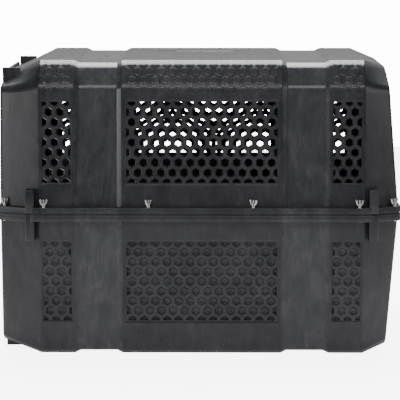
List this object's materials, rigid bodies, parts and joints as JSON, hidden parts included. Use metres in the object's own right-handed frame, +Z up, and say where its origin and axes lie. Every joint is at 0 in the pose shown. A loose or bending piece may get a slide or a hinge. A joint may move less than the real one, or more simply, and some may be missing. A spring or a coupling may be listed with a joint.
{
  "type": "pet transport carrier",
  "caption": "Large two-shell plastic pet carrier with hexagonal vents, a wire door with a squeeze latch at one end, and wing nuts round the joining flange.",
  "frame": {"origin": "middle of the footprint on the surface it stands on", "axes": "+Z up, +X along the length from the door end to the rear end, +Y to the left of someone looking along +X"},
  "size_m": [1.219, 0.813, 0.889],
  "materials": {
    "shell_plastic": "moulded black polypropylene with fine grain and faint flow marks",
    "latch_plastic": "fine moulded texture",
    "door_wire": "bright zinc-plated wire",
    "zinc_steel": "bright zinc plating",
    "spring_steel": "drawn spring wire"
  },
  "bodies": {
    "bottom": {"bottom_shell": "shell_plastic", "carriage_bolts": "zinc_steel"},
    "top": {"top_shell": "shell_plastic", "flat_washers": "zinc_steel"},
    "door": {"door_frame": "door_wire", "door_bars": "door_wire", "door_cross_wires": "door_wire", "hinge_rod": "door_wire", "rod_guides": "door_wire", "latch_backplate": "latch_plastic", "latch_housing": "latch_plastic", "latch_screws": "zinc_steel", "upper_spring": "spring_steel", "lower_spring": "spring_steel"},
    "upper_latch": {"upper_grip": "latch_plastic", "upper_latch_rod": "door_wire"},
    "lower_latch": {"lower_grip": "latch_plastic", "lower_latch_rod": "door_wire"},
    "nut_1": {"wing_nut_1": "zinc_steel"},
    "nut_2": {"wing_nut_2": "zinc_steel"},
    "nut_3": {"wing_nut_3": "zinc_steel"},
    "nut_4": {"wing_nut_4": "zinc_steel"},
    "nut_5": {"wing_nut_5": "zinc_steel"},
    "nut_6": {"wing_nut_6": "zinc_steel"},
    "nut_7": {"wing_nut_7": "zinc_steel"},
    "nut_8": {"wing_nut_8": "zinc_steel"},
    "nut_9": {"wing_nut_9": "zinc_steel"},
    "nut_10": {"wing_nut_10": "zinc_steel"},
    "nut_11": {"wing_nut_11": "zinc_steel"},
    "nut_12": {"wing_nut_12": "zinc_steel"}
  },
  "joints": [
    {"name": "top_lift", "type": "slide", "parent": "bottom", "child": "top", "axis": [0, 0, 1], "range_m": [0, 0.45]},
    {"name": "door_hinge", "type": "hinge", "parent": "bottom", "child": "door", "pos_m": [-0.58, 0.208, 0.444], "axis": [0, 0, -1], "range_deg": [0, 105]},
    {"name": "upper_latch_squeeze", "type": "slide", "parent": "door", "child": "upper_latch", "axis": [0, 0, -1], "range_m": [0, 0.014], "stiffness_N_per_m": 600, "springref_m": -0.01, "deforming": ["upper_spring"]},
    {"name": "lower_latch_squeeze", "type": "slide", "parent": "door", "child": "lower_latch", "axis": [0, 0, 1], "range_m": [0, 0.014], "stiffness_N_per_m": 600, "springref_m": -0.01, "deforming": ["lower_spring"]},
    {"name": "wing_nut_1_spin", "type": "hinge", "parent": "top", "child": "nut_1", "pos_m": [-0.467, -0.3975, 0.468], "axis": [0, 0, 1], "continuous": true},
    {"name": "wing_nut_2_spin", "type": "hinge", "parent": "top", "child": "nut_2", "pos_m": [-0.152, -0.3975, 0.468], "axis": [0, 0, 1], "continuous": true},
    {"name": "wing_nut_3_spin", "type": "hinge", "parent": "top", "child": "nut_3", "pos_m": [0.163, -0.3975, 0.468], "axis": [0, 0, 1], "continuous": true},
    {"name": "wing_nut_4_spin", "type": "hinge", "parent": "top", "child": "nut_4", "pos_m": [0.482, -0.3975, 0.468], "axis": [0, 0, 1], "continuous": true},
    {"name": "wing_nut_5_spin", "type": "hinge", "parent": "top", "child": "nut_5", "pos_m": [-0.587, -0.3615, 0.468], "axis": [0, 0, 1], "continuous": true},
    {"name": "wing_nut_6_spin", "type": "hinge", "parent": "top", "child": "nut_6", "pos_m": [0.589, -0.3615, 0.468], "axis": [0, 0, 1], "continuous": true},
    {"name": "wing_nut_7_spin", "type": "hinge", "parent": "top", "child": "nut_7", "pos_m": [-0.467, 0.3975, 0.468], "axis": [0, 0, 1], "continuous": true},
    {"name": "wing_nut_8_spin", "type": "hinge", "parent": "top", "child": "nut_8", "pos_m": [-0.152, 0.3975, 0.468], "axis": [0, 0, 1], "continuous": true},
    {"name": "wing_nut_9_spin", "type": "hinge", "parent": "top", "child": "nut_9", "pos_m": [0.163, 0.3975, 0.468], "axis": [0, 0, 1], "continuous": true},
    {"name": "wing_nut_10_spin", "type": "hinge", "parent": "top", "child": "nut_10", "pos_m": [0.482, 0.3975, 0.468], "axis": [0, 0, 1], "continuous": true},
    {"name": "wing_nut_11_spin", "type": "hinge", "parent": "top", "child": "nut_11", "pos_m": [-0.587, 0.3615, 0.468], "axis": [0, 0, 1], "continuous": true},
    {"name": "wing_nut_12_spin", "type": "hinge", "parent": "top", "child": "nut_12", "pos_m": [0.589, 0.3615, 0.468], "axis": [0, 0, 1], "continuous": true}
  ],
  "couplings": [
    {"joint": "lower_latch_squeeze", "follows": "upper_latch_squeeze", "ratio": 1}
  ]
}
